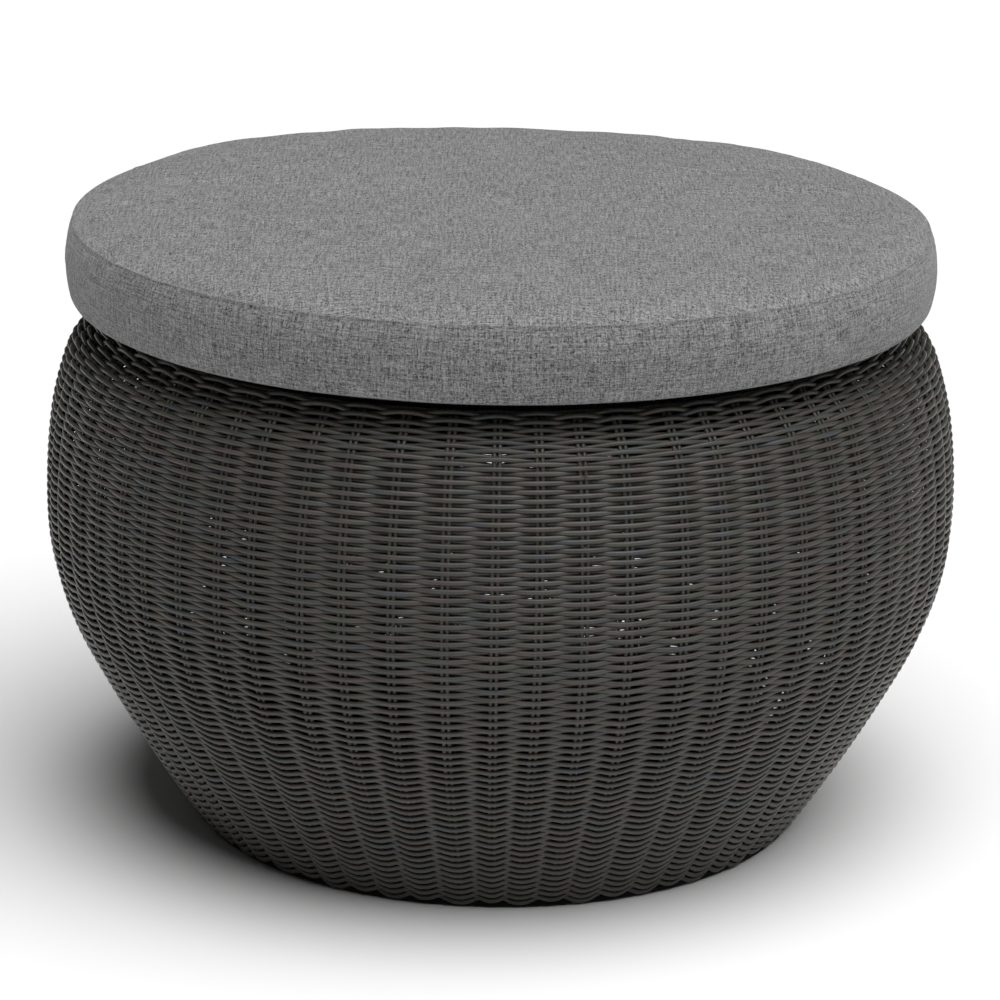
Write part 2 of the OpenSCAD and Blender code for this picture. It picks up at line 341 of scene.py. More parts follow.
def weave_bump(s, cloth, pitch):
    """Height of a plain weave: two sets of threads that pass over each other."""
    turn = math.pi / pitch
    parts = s.add("SeparateXYZ", {"Vector": s.stretch(cloth, (turn, turn, 1))})
    across = s.math("SINE", parts.outputs["X"])
    down = s.math("SINE", parts.outputs["Y"])
    over = s.math("MULTIPLY", across, down)
    ridge = s.math("ADD", s.math("ABSOLUTE", across), s.math("ABSOLUTE", down))
    return s.math("ADD", over, ridge)


def fabric_material(name, dark, light, pitch, contrast, run=4 * MM, slub=0.35, speckle=0.7):
    """Heathered plain weave: every thread keeps its own tone for a way, with thicker slubs."""
    s = Shader(name, {
        "Roughness": 0.95, "Specular IOR Level": 0.12, "Sheen Weight": 0.18, "Sheen Roughness": 0.6,
    })
    cloth = s.place("cloth")
    fine = 1 / (1.25 * pitch)
    warp = s.noise(s.stretch(cloth, (fine, 1 / run, 1)), 1.0, 2.0, 0.6)
    weft = s.noise(s.stretch(cloth, (1 / run, fine, 1), shift=(3, 7, 0)), 1.0, 2.0, 0.6)
    slub_warp = s.noise(s.stretch(cloth, (fine * 0.6, 45, 1), shift=(11, 2, 0)), 1.0, 1.0)
    slub_weft = s.noise(s.stretch(cloth, (45, fine * 0.6, 1), shift=(1, 17, 0)), 1.0, 1.0)
    fleck = s.noise(s.stretch(cloth, (fine * 0.9, fine * 0.9, 1), shift=(5, 5, 0)), 1.0, 2.0)
    cloud = s.noise(cloth, 9.0, 2.0)
    tone = s.math("ADD", s.either_way(warp, 0.6), s.either_way(weft, 0.6))
    slubs = s.math("ADD", s.either_way(slub_warp, slub), s.either_way(slub_weft, slub))
    tone = s.math("ADD", tone, slubs)
    tone = s.math("ADD", tone, s.either_way(fleck, speckle, 0.2))
    tone = s.math("ADD", s.math("MULTIPLY", tone, contrast), s.either_way(cloud, 0.03, 0.3))
    colour = s.ramp(s.math("ADD", tone, 0.5, clamp=True), [(0.0, dark), (1.0, light)])
    height = s.math("ADD", weave_bump(s, cloth, pitch), s.math("MULTIPLY", tone, 1.5))
    return s.use(colour, None, height, 0.12 * MM, 0.5)


def foam_material(name):
    """Open-celled cream foam, with painted shade in the cells' hollows."""
    s = Shader(name, {"Roughness": 0.9})
    place = s.place()
    cells = s.add("TexVoronoi", {"Vector": place, "Scale": 700.0}).outputs["Distance"]
    tone = s.ramp(s.noise(place, 8, 3.0), [(0.3, (0.62, 0.55, 0.36)), (0.7, (0.74, 0.68, 0.48))])
    # Painted shade: the colour darkens towards each cell's middle, where the bump sinks the surface
    return s.use(s.scaled(tone, s.between(cells, 0, 0.6, 0.75, 1.05)), None, cells, 0.4 * MM, 0.8)


def floor_material():
    """Matt, nearly white, with a faint unevenness."""
    s = Shader("studio_floor", {"Roughness": 0.8, "Specular IOR Level": 0.1})
    tone = s.ramp(s.noise(s.place(), 0.6, 2.0), [(0.3, (0.94, 0.94, 0.94)), (0.7, (0.95, 0.95, 0.95))])
    return s.use(tone)


RESIN_TONES = [
    (0.052, 0.056, 0.060), (0.054, 0.058, 0.047), (0.064, 0.057, 0.048), (0.051, 0.050, 0.045),
    (0.069, 0.056, 0.049), (0.056, 0.057, 0.054),
]
strand_resin = resin_material("strand_resin", RESIN_TONES, 0.4)
stake_resin = resin_material("stake_resin", [[0.85 * c for c in t] for t in RESIN_TONES], 0.45)
powder_coat = coat_material("powder_coat", (0.0035, 0.0035, 0.0037), 0.55, shine=0.08)
nylon = coat_material("black_nylon", (0.014, 0.014, 0.014), 0.5, 600)
rubber = coat_material("black_rubber", (0.018, 0.018, 0.018), 0.75, 400, 0.5)
zip_plastic = coat_material("zip_plastic", (0.03, 0.03, 0.031), 0.4, 2000)
zinc = metal_material("zinc_plate", (0.62, 0.62, 0.6), 0.35)
# Painted shade: the band's fabric is the crown's cloth with darker tones (its light tone about 0.88 of the
# crown's), so the band's sides look shaded against the top
band_fabric_painted_shade = fabric_material("band_fabric_painted_shade", (0.028, 0.028, 0.0285), (0.336, 0.336, 0.338), 0.8 * MM, 0.58)
crown_fabric = fabric_material(
    "crown_fabric", (0.045, 0.045, 0.0455), (0.383, 0.383, 0.385), 0.8 * MM, 0.7,
    run=3.6 * MM, slub=0.3, speckle=0.45,
)
lining_fabric = fabric_material("lining_fabric", (0.05, 0.05, 0.052), (0.2, 0.2, 0.205), 0.6 * MM, 0.12)
tape_fabric = fabric_material("tape_fabric", (0.015, 0.015, 0.016), (0.06, 0.06, 0.062), 0.5 * MM, 0.15)
grip_fabric = coat_material("grip_tape", (0.008, 0.008, 0.008), 0.8, 900, 0.9)
foam = foam_material("cushion_foam")


# --- The basket's wall ------------------------------------------------------------------------

def wall_face(u):
    """The wall's outer face at place u, from 0 at the floor to 9 at the rim."""
    last = len(WALL) - 1
    i = np.clip(np.floor(u).astype(int), 0, last - 1)
    t = (u - i)[:, None]
    a, b, c, d = (WALL[np.clip(i + k, 0, last)] * belly_r for k in (-1, 0, 1, 2))
    curve = 2 * b + (c - a) * t + (2 * a - 5 * b + 4 * c - d) * t ** 2 + (3 * b - a - 3 * c + d) * t ** 3
    return 0.5 * curve


class Wall:
    """The middle line of the weave from the base ring up the wall and over the rim tube.

    Places on it are given by s, the distance along it, or by row, the number of turns of the strand.
    """

    step = 0.5 * MM
    rim_row_r = rim_tube_r + 1.8 * MM
    below_base_top = 3 * MM

    def __init__(self):
        face = wall_face(np.linspace(0.1, 8.85, 600))
        heading = unit(np.gradient(face, axis=0))
        middle = face - WEAVE_DEPTH * outward(heading)
        over_rim = np.radians(np.linspace(12, 185, 90))
        rim = (rim_r, rim_z) + self.rim_row_r * np.column_stack([np.cos(over_rim), np.sin(over_rim)])
        line = self.even(np.concatenate([middle, rim]))
        line = np.column_stack([smoothed(np.pad(line[:, k], 6, "edge"), 13) for k in (0, 1)])
        line = self.even(line[line[:, 1] > base_top - self.below_base_top][:-4])
        self.s = np.arange(len(line)) * self.step
        self.line = line
        self.heading = unit(np.gradient(line, axis=0))
        rim_side = (rim_r + self.rim_row_r, rim_z)
        self.end = self.s[np.argmin(np.linalg.norm(line - rim_side, axis=1))]
        pitch = MM * self.by_share(PITCH_AT, self.s)
        self.row = np.concatenate([[0], np.cumsum(self.step / pitch[:-1])])

    def even(self, line):
        """The same line with points a step apart."""
        s = np.concatenate([[0], np.cumsum(np.linalg.norm(np.diff(line, axis=0), axis=1))])
        at = np.arange(0, s[-1], self.step)
        return np.column_stack([np.interp(at, s, line[:, k]) for k in (0, 1)])

    def by_share(self, table, s):
        """A value from a table by share of the way up to the rim, where share 1 is its side."""
        return np.interp(s / self.end, *zip(*table))

    def at(self, s):
        """Radius, height, and the heading up the wall, at distance s along the line."""
        values = [np.interp(s, self.s, column) for column in (*self.line.T, *self.heading.T)]
        return values[0], values[1], unit(np.stack(values[2:], -1))

    def s_of_row(self, row):
        return np.interp(row, self.row, self.s)

    def row_at_height(self, height):
        rising = np.argmax(self.line[:, 1])
        return np.interp(height, self.line[:rising, 1], self.row[:rising])


wall = Wall()
stake_shift = np.clip(random.normal(0, 0.105, STAKE_PAIRS), -0.2, 0.2)
stake_drift = random.normal(0, 0.05, STAKE_PAIRS)
float_depth = 1 + np.clip(random.normal(0, 0.12, STAKE_PAIRS), -0.22, 0.16)
float_rise = 1 + random.uniform(-0.7, 0.7, STAKE_PAIRS)
SAG_TURNS = (2, 3, 5, 7, 11)
sag_phase = random.uniform(0, TAU, len(SAG_TURNS))
ROW_SAG = 1.1 * MM
RIM_SWING = 0.45 * MM
DRIFT = 0.04 * MM
DRIFT_WAVES = ((0.913, 1), (2.17, 4), (5.31, 2), (11.7, 0))


def stake_lean(azimuth, s):
    """How far, as an angle, the stakes stand off their even places round the wall."""
    place = azimuth * STAKE_PAIRS / TAU
    up = s / wall.end - 0.5
    return (round_ring(stake_shift, place) + up * round_ring(stake_drift, place)) * TAU / STAKE_PAIRS


def row_sag(azimuth, s):
    """How far the rows are pushed up or down the wall, the same for neighbouring rows."""
    share = np.clip(s / wall.end, 0, 1)
    total = np.zeros_like(azimuth)
    for n, phase in zip(SAG_TURNS, sag_phase):
        total += np.sin(n * azimuth + phase + 7 * s) / n
    return ROW_SAG * total * np.sin(math.pi * share)


def spiral(first_row, last_row):
    """Centres, up directions and section heights of the strand between two rows of its spiral."""
    per_turn = STAKE_PAIRS * STEPS_PER_PAIR
    turn = np.arange(round(first_row * per_turn), round(last_row * per_turn) + 1) / per_turn
    azimuth = turn * TAU
    s = wall.s_of_row(turn)
    pairs = STAKE_PAIRS * (azimuth + stake_lean(azimuth, s)) / TAU
    swing = np.cos(math.pi * pairs)
    swing = swing * (1.14 - 0.14 * swing ** 2)
    past_side = s - wall.end
    on_rim = np.clip((past_side - 5 * MM) / (7 * MM), 0, 1)
    full_reach = MM * wall.by_share(SWING_AT, s) * round_ring(float_depth, pairs)
    reach = full_reach * (1 - on_rim) + RIM_SWING * on_rim
    own_rise = round_ring(float_rise, pairs)
    settled = np.clip(1 - (past_side - 6 * MM) / (10 * MM), 0.15, 1)
    rise = MM * wall.by_share(FLOAT_RISE_AT, s) * settled * own_rise
    sag = MM * wall.by_share(FLOAT_SAG_AT, s) * own_rise * swing ** 2
    drift = sum(np.sin(azimuth * turns + phase) for turns, phase in DRIFT_WAVES)
    s = s + row_sag(azimuth, s) + DRIFT * drift * (1 - on_rim) + rise * swing - sag
    radius, height, heading = wall.at(s)
    out = outward(heading) * (reach * swing)[:, None]
    path = polar(radius + out[:, 0], azimuth, height + out[:, 1])
    up = polar(heading[:, 0], azimuth, heading[:, 1])
    return path, up, wall.by_share(STRAND_TALL_AT, s)


def weave_rows():
    """The wall: one strand in a spiral that passes outside every other pair of stakes.

    It is cut where the CAD's bands meet, and again where a piece would have too many triangles.
    """
    rim_row = np.interp(wall.end, wall.s, wall.row)
    edges = [0, wall.row_at_height(lower_top), wall.row_at_height(belly_top), rim_row, wall.row[-1]]
    bands = (
        ("lower", "weave_lower"), ("belly", "weave_belly"), ("upper", "weave_upper"), ("rim", "rim_border"),
    )
    ring = circle_ring(STRAND_R, STRAND_SIDES) * STRAND_STRETCH
    most_rows = MAX_TRIANGLES / (2 * STRAND_SIDES * STAKE_PAIRS * STEPS_PER_PAIR)
    for (band, node), first, last in zip(bands, edges, edges[1:]):
        count = math.ceil((last - first) / most_rows)
        cuts = np.linspace(first, last, count + 1)
        for i, (start, end) in enumerate(zip(cuts, cuts[1:])):
            path, up, tall = spiral(start, end)
            part = sweep(path, up, ring, start * TAU * belly_r, tall)
            piece = rods(f"{band}_rows_{i + 1}", [part])
            settle(piece, "basket", strand_resin, node)


def stakes():
    """The upright rods in pairs, between the strands in front of them and those behind."""
    past_side = 7 * MM
    s = np.linspace(0, wall.end + past_side, 66)
    radius, height, heading = wall.at(s)
    ring = circle_ring(STAKE_R, STRAND_SIDES)
    parts = []
    for pair in range(STAKE_PAIRS):
        even = np.full(len(s), pair * TAU / STAKE_PAIRS)
        azimuth = even
        for _ in range(8):  # settles, because the lean is asked for where the stake ends up
            azimuth = even - stake_lean(azimuth, s)
        for side in (-0.5, 0.5):
            place = azimuth + side * STAKE_APART / radius
            wander = 0.2 * MM * waves(s * 40 + pair, (1, 2, 3), 1.0)
            path = polar(radius + wander, place, height)
            up = polar(heading[:, 1], place, -heading[:, 0])
            parts.append(sweep(path, up, ring, tag=pair * 3.1 + side))
    piece = rods("stake_rods", parts)
    settle(piece, "basket", stake_resin, "stakes")


# --- Woven panels and the lid's border --------------------------------------------------------

def strip_mat(name, radius, low, high, body, node):
    """A disc of flat resin strips in plain weave, between two heights."""
    pitch = 10 * MM
    width = 9.4 * MM
    swing = 0.98 * (high - low) / 4
    half_t = 0.95 * (high - low) / 4
    flat_half = 0.42 * width
    ring = np.array([
        (width / 2, 0), (flat_half, half_t), (-flat_half, half_t),
        (-width / 2, 0), (-flat_half, -half_t), (flat_half, -half_t),
    ])
    count = int(radius / pitch)
    parts = []
    for across in (0, 1):
        for i in range(-count, count + 1):
            inner_edge = abs(i) * pitch + 0.1 * width
            half = math.sqrt(max(radius ** 2 - inner_edge ** 2, 0))
            if half < 1.5 * pitch:
                continue
            along = np.linspace(-half, half, int(half * 2 / pitch * 3) + 2)
            wave = np.cos(math.pi * (along / pitch + i + across)) * swing
            level = np.full(len(along), i * pitch + random.uniform(-0.15, 0.15) * MM)
            flat = (along, level) if across else (level, along)
            path = np.column_stack([*flat, (low + high) / 2 + wave])
            up = np.tile((0.0, 0.0, 1.0), (len(path), 1))
            parts.append(sweep(path, up, ring, tag=7.3 * i + 3.7 * across))
    piece = rods(name, parts)
    settle(piece, body, strand_resin, node)


def ring_wrap(name, ring_r, ring_z, tube_r, strand_r, body, node):
    """A strand wound round a ring's tube, turn beside turn."""
    turns = int(TAU * ring_r / (2.04 * strand_r))
    steps = 12 * turns
    place = np.arange(steps + 1) / steps
    azimuth = place * TAU
    wound = place * turns * TAU
    reach = tube_r + strand_r
    path = polar(ring_r + reach * np.cos(wound), azimuth, ring_z + reach * np.sin(wound))
    up = polar(np.cos(wound), azimuth, np.sin(wound))
    piece = rods(name, [sweep(path, up, circle_ring(strand_r, 6))])
    settle(piece, body, strand_resin, node)


# --- The cushion ------------------------------------------------------------------------------

COLUMNS = 720
COVER_T = 1 * MM
CORNER_R = 6 * MM
OVERHANG_DROP = 2 * MM
CUSHION_TILT = math.radians(0.3)
CUSHION_OFF = -1.5 * MM
CENTRE_R = 4 * MM
MOST_PUSH = 2.5 * MM
SEAM_ROLL = 3 * MM
ROLL_WIDTH = 7 * MM
BACK_DROP = 4.5 * MM
SEAM_RIDGE = 0.45 * MM
SEAM_GROOVE = 0.55 * MM
PUCKER = 0.16 * MM
SWAY = 0.7 * MM
edge_r = seam_r + 2.5 * MM
lid_edge_r = lid_r + lid_tube_r + lid_border_t


def cushion_outline():
    """The cushion's outline from under its middle to the middle of its crown, and its seams.

    Returns radius and height of each ring, and the ring numbers of the lower and the top seam.
    """
    corner_r = cushion_r - 1.5 * MM - CORNER_R
    droop = cushion_low - OVERHANG_DROP
    on_lid = np.linspace(CENTRE_R, lid_edge_r, 36)
    past_lid = np.linspace(lid_edge_r, corner_r, 9)[1:]
    under_r = np.concatenate([on_lid, past_lid])
    sink = np.clip((under_r - lid_edge_r) / (corner_r - lid_edge_r), 0, 1)
    under = np.column_stack([under_r, cushion_low - OVERHANG_DROP * sink ** 1.5])
    turn = np.radians(np.linspace(-90, -8, 9))[1:]
    corner = (corner_r, droop + CORNER_R) + CORNER_R * np.column_stack([np.cos(turn), np.sin(turn)])
    bulge = [(cushion_r + 3 * MM, droop + 24 * MM), (cushion_r + 3 * MM, seam_z - 12 * MM)]
    band = bezier([corner[-1], *bulge, (edge_r, seam_z)], crowd(22, 0.25))
    peak = crown_z - 1 * MM - SEAM_ROLL
    shoulder = (edge_r - 32 * MM, seam_z + 0.78 * (peak - seam_z))
    crown = bezier([(edge_r, seam_z), shoulder, (0.7 * edge_r, peak), (CENTRE_R, peak)], crowd(58, 0.12))
    crown[:, 1] += SEAM_ROLL * (1 - np.exp(-(edge_r - crown[:, 0]) / ROLL_WIDTH))
    outline = np.concatenate([under, corner, band[1:], crown[1:]])
    lower = len(under) + len(corner) // 2 - 1
    top = len(under) + len(corner) + len(band) - 2
    return outline, lower, top


def crowd(count, share):
    """Numbers from 0 to 1, closer together near both ends for a low share."""
    t = np.linspace(0, 1, count)
    return (1 - share) * 0.5 * (1 - np.cos(math.pi * t)) + share * t


def places(mesh):
    """The mesh's points as an array."""
    flat = np.zeros(len(mesh.vertices) * 3, np.float32)
    mesh.vertices.foreach_get("co", flat)
    return flat.reshape(-1, 3)


def swelling(outline, top):
    """Where a cloth simulation moves the cushion's cover: rest points and their moves.

    The cover is a little larger than its form, held at the top seam, and blown up by pressure.
    """
    coarse = 96
    frames = 20
    keep = outline[::3]
    azimuth = np.tile(np.arange(coarse) * TAU / coarse, len(keep))
    points = polar(np.repeat(keep[:, 0], coarse), azimuth, np.repeat(keep[:, 1], coarse))
    pad = make_mesh("swelling_pad", points, grid_faces(len(keep), coarse, True, True))
    scene = bpy.context.scene
    remesh = pad.modifiers.new("even", "REMESH")
    remesh.mode = "VOXEL"
    remesh.voxel_size = 6 * MM
    bpy.context.view_layer.objects.active = pad
    bpy.ops.object.modifier_apply(modifier="even")
    rest = places(pad.data)
    rest_r = np.hypot(rest[:, 0], rest[:, 1])
    off_seam = np.hypot(rest_r - outline[top, 0], rest[:, 2] - outline[top, 1])
    held = pad.vertex_groups.new(name="seam")
    held.add([int(i) for i in np.flatnonzero(off_seam < 5 * MM)], 1.0, "REPLACE")
    cloth = pad.modifiers.new("cover", "CLOTH")
    cloth.settings.vertex_group_mass = "seam"
    cloth.settings.use_pressure = True
    cloth.settings.uniform_pressure_force = 4
    cloth.settings.shrink_min = -0.025
    cloth.settings.effector_weights.gravity = 0
    cloth.settings.bending_stiffness = 0.8
    cloth.point_cache.frame_start = 1
    cloth.point_cache.frame_end = frames
    for number in range(1, frames + 1):
        scene.frame_set(number)
    shown = pad.evaluated_get(bpy.context.evaluated_depsgraph_get())
    move = places(shown.data) - rest
    scene.frame_set(1)
    mesh = pad.data
    bpy.data.objects.remove(pad)
    bpy.data.meshes.remove(mesh)
    return rest, move


def grid_faces(rings, columns, close_start=False, close_end=False, wrap=True):
    """Quads of a grid of rings, with an optional fan at its first and last ring's middle."""
    row = np.arange(rings - 1)[:, None] * columns
    here = np.arange(columns if wrap else columns - 1)[None]
    after = (here + 1) % columns
    quads = np.stack([row + here, row + after, row + columns + after, row + columns + here], -1)
    faces = [quads.reshape(-1, 4)]
    start = np.arange(1, columns - 1)
    if close_start:
        faces.append(np.stack([np.zeros_like(start), start + 1, start], -1))
    if close_end:
        last = (rings - 1) * columns
        faces.append(np.stack([np.full_like(start, last), last + start, last + start + 1], -1))
    return faces


def seam_detail(azimuth, from_seam):
    """Puckers beside the top seam, and the seam's own ridge between two grooves."""
    pucker = waves(azimuth, (37, 53, 71, 97, 131), 1.0, 0.0) + waves(azimuth, (43, 61, 89, 109), 1.0, 0.0)
    strength = 0.55 + 0.45 * np.sin(azimuth * 2 + 1.9) * np.sin(azimuth * 5 + 0.4)
    away = np.abs(from_seam)
    near = np.exp(-away / (11 * MM)) * (1 - np.exp(-away / (2.5 * MM)))
    groove = np.exp(-((away - 2.6 * MM) / (1.8 * MM)) ** 2)
    ridge = np.exp(-(away / (1.1 * MM)) ** 2)
    seam = SEAM_RIDGE * ridge - SEAM_GROOVE * groove
    return PUCKER * np.outer(near, pucker * strength) + seam[:, None]


# The crown's soft unevenness: millimetres, waves along the radius, waves round it, and phase
CROWN_LUMPS = ((0.9, 11, 1, 0.5), (0.7, 17, 2, 2.1), (0.5, 23, 3, 4.0), (0.35, 31, 5, 1.2))


def crown_lumps(outline, azimuth, top):
    """That unevenness for every ring and column, fading out towards the seam."""
    radius = outline[:, 0]
    crown = np.clip(1 - (radius / seam_r) ** 4, 0, 1) * (np.arange(len(outline)) > top)
    lumps = sum(
        size * np.outer(np.sin(radius * waviness + phase), np.cos(azimuth * turns + phase))
        for size, waviness, turns, phase in CROWN_LUMPS
    )
    return MM * crown[:, None] * lumps


def cushion_surface():
    """The cover's points as rings by columns, with swelling, puckers and slow unevenness.

    Also returns each ring's distance past the top seam, the columns' azimuths, and the seams' rings.
    """
    outline, lower, top = cushion_outline()
    out = outward(unit(np.gradient(outline, axis=0)))
    steps = np.linalg.norm(np.diff(outline, axis=0), axis=1)
    along = np.concatenate([[0], np.cumsum(steps)])
    from_seam = along - along[top]
    azimuth = (np.arange(COLUMNS) / COLUMNS + 0.25) * TAU
    push = np.zeros((len(outline), COLUMNS))
    loose = np.clip((along - along[lower]) / (80 * MM), 0.05, 0.8)
    push += loose[:, None] * swell_push(outline, top, out, azimuth)
    push += seam_detail(azimuth, from_seam)
    push += crown_lumps(outline, azimuth, top)
    push *= np.clip(outline[:, :1] / (60 * MM), 0, 1) ** 2
    sway = SWAY * waves(azimuth, (2, 3, 5, 8), 1.0, 0.8)
    radius = outline[:, :1] + out[:, :1] * push + sway * np.clip(outline[:, :1] / seam_r, 0, 1) ** 3
    points = polar(radius, azimuth[None], outline[:, 1:] + out[:, 1:] * push)
    x, y, z = (points[..., k] for k in range(3))
    lifted = np.clip((z - cushion_low) / (seam_z - cushion_low), 0, 1)
    z -= x * math.tan(CUSHION_TILT) * lifted
    behind = np.clip(y / seam_r, 0, 1) ** 4 * np.exp(-(x / (0.5 * seam_r)) ** 2)
    z -= BACK_DROP * behind * lifted
    x += CUSHION_OFF
    return points, from_seam, azimuth, lower, top


def swell_push(outline, top, out, azimuth):
    """The simulated move along the surface's direction, less its mean round each ring."""
    rest, move = swelling(outline, top)
    tree = KDTree(len(rest))
    for i, point in enumerate(rest):
        tree.insert(point, i)
    tree.balance()
    step = 3
    push = np.zeros((len(outline), COLUMNS // step))
    for ring, (radius, height) in enumerate(outline):
        for column in range(COLUMNS // step):
            a = azimuth[column * step]
            near = tree.find_n((radius * math.cos(a), radius * math.sin(a), height), 4)
            weight = np.array([1 / (n[2] + 1e-4) for n in near])
            shift = (weight[:, None] * move[[n[1] for n in near]]).sum(0) / weight.sum()
            away = shift[0] * math.cos(a) + shift[1] * math.sin(a)
            push[ring, column] = out[ring, 0] * away + out[ring, 1] * shift[2]
    push -= push.mean(1, keepdims=True)
    around = np.pad(push, ((0, 0), (4, 4)), "wrap")
    push = np.stack([smoothed(row, 9) for row in around])
    push = np.clip(1.6 * push, -MOST_PUSH, MOST_PUSH)
    fine = np.arange(COLUMNS) / step
    return np.stack([round_ring(row, fine) for row in push])


def soften_edges(piece, width):
    """Rounds a piece's sharp edges a little."""
    edge = piece.modifiers.new("edges", "BEVEL")
    edge.width = width
    edge.segments = 2
    edge.limit_method = "ANGLE"
    return edge


def thicken(piece, thickness):
    """Gives a sheet of cover cloth its thickness, inwards."""
    solid = piece.modifiers.new("cloth", "SOLIDIFY")
    solid.thickness = thickness
    solid.offset = -1
    solid.use_even_offset = False
    return piece


def cover_panel(name, grid, faces, cloth, fabric, node):
    """A panel of the cover: a grid of points with cloth thickness and flat cloth coordinates."""
    piece = make_mesh(name, grid.reshape(-1, 3), faces, {"cloth": cloth.reshape(-1, 3)})
    settle(thicken(piece, COVER_T), "cushion", fabric, node)


def cushion():
    """The cover's three panels and the foam; returns the cover's points and its seams' rings."""
    points, from_seam, azimuth, lower, top = cushion_surface()

    # Cloth coordinates of the crown run along its arc from the middle, not along its radius
    crown = points[top:]
    reach = (from_seam[-1] - from_seam[top:]) / np.hypot(crown[:, 0, 0], crown[:, 0, 1])
    flat = crown * reach[:, None, None] * (1, 1, 0)
    faces = grid_faces(len(crown), COLUMNS, close_end=True)
    cover_panel("cushion_top", crown, faces, flat, crown_fabric, "cushion_top_panel")

    side = points[lower:top + 1]
    side = np.concatenate([side, side[:, :1]], axis=1)
    around = np.append((azimuth - azimuth[0]) * seam_r, TAU * seam_r)
    down = from_seam[lower:top + 1]
    flat = np.stack([*np.meshgrid(around, down), np.zeros((len(down), len(around)))], -1)
    faces = grid_faces(len(side), COLUMNS + 1, wrap=False)
    # The band gets the crown's cloth with painted shade
    cover_panel("cushion_band", side, faces, flat, band_fabric_painted_shade, "cushion_side_band")

    under = points[:lower + 1]
    faces = grid_faces(len(under), COLUMNS, close_start=True)
    flat = under * (1, 1, 0)
    cover_panel(
        "cushion_underside", under, faces, flat, lining_fabric, "cushion_bottom_panel"
    )

    coarse = points[::2, ::4]
    centre = np.array([0, 0, (cushion_low + crown_z) / 2])
    shrink = 1 - 3 * MM / cushion_r
    inset = (coarse.reshape(-1, 3) - centre) * (shrink, shrink, 0.93) + centre
    piece = make_mesh("foam_block", inset, grid_faces(len(coarse), COLUMNS // 4, True, True))
    settle(piece, "cushion", foam, "foam_core")
    return points, lower, top


# --- The cushion's zip ------------------------------------------------------------------------

def band_line(points, lower, top, height, turns, lift):
    """The band's surface along a level line, at some azimuths, lifted off it by a distance."""
    line = []
    for turn in turns:
        column = points[lower:top + 1, round((turn / TAU - 0.25) * COLUMNS) % COLUMNS]
        place = [np.interp(height, column[:, 2], column[:, k]) for k in (0, 1)]
        line.append((place[0] + lift * math.cos(turn), place[1] + lift * math.sin(turn), height))
    return np.array(line)


def block(centre, turn, lean, size):
    """Corners and faces of a box whose first side points out at azimuth turn, tipped by lean."""
    turned = np.array(Matrix.Rotation(turn, 3, "Z") @ Matrix.Rotation(lean, 3, "Y"))
    corners = np.array([(x, y, z) for x in (-0.5, 0.5) for y in (-0.5, 0.5) for z in (-0.5, 0.5)])
    quads = np.array([(0, 1, 3, 2), (4, 6, 7, 5), (0, 4, 5, 1), (2, 3, 7, 6), (0, 2, 6, 4), (1, 5, 7, 3)])
    return (corners * size) @ turned.T + centre, quads, np.zeros((8, 3))


def zip_strip(surface, turns, low, high):
    """The zip's woven tape, on the band between two heights."""
    heights = np.linspace(low, high, 7)
    points = np.concatenate([band_line(*surface, z, turns, 0.5 * MM) for z in heights])
    flat = np.column_stack([np.tile(turns * cushion_r, len(heights)), points[:, 2], np.zeros(len(points))])
    faces = grid_faces(len(heights), len(turns), wrap=False)
    piece = make_mesh("zip_tape_strip", points, faces, {"cloth": flat})
    settle(thicken(piece, 0.7 * MM), "cushion", tape_fabric, "zip_tape")


def zip_teeth(surface, turns, middle):
    """The coil's teeth, in turn above and below the middle of the zip."""
    count = int((turns[-1] - turns[0]) * cushion_r / (1.4 * MM))
    ring = circle_ring(0.62 * MM, 6)
    parts = []
    for i, turn in enumerate(np.linspace(turns[1], turns[-2], count)):
        side = 1 if i % 2 else -1
        away = np.array((math.cos(turn), math.sin(turn), 0))
        heights = middle + side * MM * np.array((-0.3, 0.9, 2.1))
        path = np.concatenate([band_line(*surface, z, [turn], 0.9 * MM) for z in heights])
        path[1] += 0.35 * MM * away
        parts.append(sweep(path, np.tile(away, (3, 1)), ring))
    settle(rods("zip_teeth", parts), "cushion", zip_plastic, "zip_chain")


def zip_puller(surface, turn, middle):
    """The slider's body, its bridge, and the tab that hangs from it."""
    seat = band_line(*surface, middle, [turn], 2.6 * MM)[0]
    hang = band_line(*surface, middle - 8 * MM, [turn], 3.6 * MM)[0]
    parts = [
        block(seat, turn, 0.1, (2.6 * MM, 11 * MM, 8 * MM)),
        block(seat + (hang - seat) * 0.1, turn, 0.1, (5 * MM, 3 * MM, 4 * MM)),
        block(hang, turn, 0.12, (1.2 * MM, 6 * MM, 15 * MM)),
    ]
    piece = rods("zip_puller", parts)
    soften_edges(piece, 0.5 * MM)
    settle(piece, "cushion", zip_plastic, "zip_slider")


def zip_fastener(surface):
    """The zip across the back of the band: its tape, two rows of teeth, and the slider."""
    low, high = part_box("zip_tape")
    middle = (low.z + high.z) / 2
    half_angle = math.atan2(high.x, math.sqrt(cushion_r ** 2 - high.x ** 2))
    turns = np.linspace(math.pi / 2 - half_angle, math.pi / 2 + half_angle, 141)
    zip_strip(surface, turns, low.z, high.z)
    zip_teeth(surface, turns, middle)
    slider_low, slider_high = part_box("zip_slider")
    turn = math.atan2(slider_low.y + slider_high.y, slider_low.x + slider_high.x)
    zip_puller(surface, turn, middle)


# --- CAD pieces that stay ---------------------------------------------------------------------

def refinish(material, names, bevel=0.0):
    """Better material on CAD nodes that stay, and softly broken edges on their square bars."""
    for name in names:
        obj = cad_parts[name]
        if not obj.material_slots:
            obj.data.materials.append(material)
        for slot in obj.material_slots:
            slot.material = material
        if bevel:
            soften_edges(obj, bevel).angle_limit = math.radians(40)


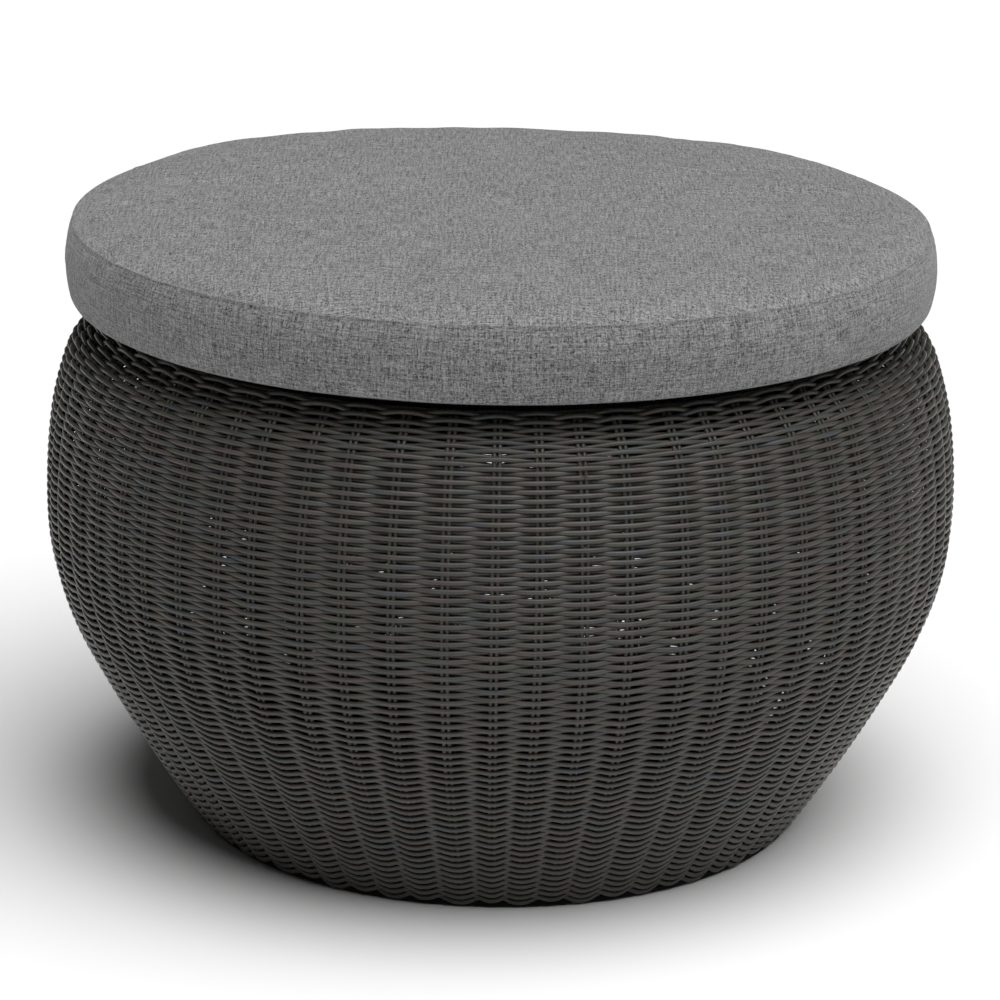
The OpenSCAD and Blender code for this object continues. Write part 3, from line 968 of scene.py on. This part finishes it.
refinish(powder_coat, ["base_ring", "base_bar_long", "base_bars_short", "frame_ribs", "rest_tabs"], 0.5 * MM)
refinish(powder_coat, ["belly_hoop", "rim_hoop", "lid_ring", "lid_bar_long", "lid_bars_short"])
refinish(zinc, ["floor_screws"], 0.3 * MM)
refinish(nylon, ["glides"], 0.5 * MM)
refinish(rubber, ["lid_bumpers"], 0.8 * MM)
refinish(grip_fabric, ["hook_tabs", "loop_tabs"], 0.3 * MM)


# --- Build ------------------------------------------------------------------------------------

weave_rows()
stakes()
floor_low, floor_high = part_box("floor_panel")
strip_mat("floor_mat", floor_high.x, floor_low.z, floor_high.z, "basket", "floor_panel")
panel_low, panel_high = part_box("lid_panel")
strip_mat("lid_mat", panel_high.x, panel_low.z, panel_high.z, "lid", "lid_panel")
ring_wrap("lid_wrap", lid_r, lid_z, lid_tube_r, lid_border_t / 2, "lid", "lid_border")
zip_fastener(cushion())


# --- Studio -----------------------------------------------------------------------------------

# Where each lamp stands as seen from the object, its power, and its width in degrees
LAMPS = {
    "overhead": ((0.19, -0.25, 1.0), 3.45, 56),
    "side_fill": ((0.89, -0.45, 0.4), 0.14, 50),
}


def studio():
    """A pale floor under two wide, soft lamps and a faint white sky."""
    reach = 40
    corners = [(-reach, -reach, 0), (reach, -reach, 0), (reach, reach, 0), (-reach, reach, 0)]
    floor = make_mesh("studio_floor", corners, [np.array([[0, 1, 2, 3]])])
    floor.data.materials.append(floor_material())

    scene = bpy.context.scene
    scene.view_settings.view_transform = "Standard"
    scene.world = bpy.data.worlds.new("studio")
    scene.world.use_nodes = True
    sky = scene.world.node_tree.nodes["Background"]
    sky.inputs["Color"].default_value = (1, 1, 1, 1)
    sky.inputs["Strength"].default_value = 0.04

    for name, (toward, power, width) in LAMPS.items():
        light = bpy.data.lights.new(name, "SUN")
        light.energy = power
        light.angle = math.radians(width)
        lamp = bpy.data.objects.new(name, light)
        scene.collection.objects.link(lamp)
        lamp.rotation_euler = Vector(toward).to_track_quat("Z", "Y").to_euler()


def camera():
    """A long lens from the front, seventeen degrees above the horizon, with a slight tilt."""
    distance = 9.06 * belly_r
    aim = 0.70 * belly_r
    elevation = math.radians(17.2)
    pitch = math.radians(17.25)
    roll = math.radians(0.75)
    data = bpy.data.cameras.new("camera")
    data.sensor_width = 36
    data.lens = 146.9
    cam = bpy.data.objects.new("camera", data)
    bpy.context.scene.collection.objects.link(cam)
    cam.location = (0, -distance * math.cos(elevation), aim + distance * math.sin(elevation))
    level = Matrix.Rotation(math.pi / 2 - pitch, 3, "X")
    cam.rotation_euler = (level @ Matrix.Rotation(roll, 3, "Z")).to_euler()
    bpy.context.scene.camera = cam


studio()
camera()
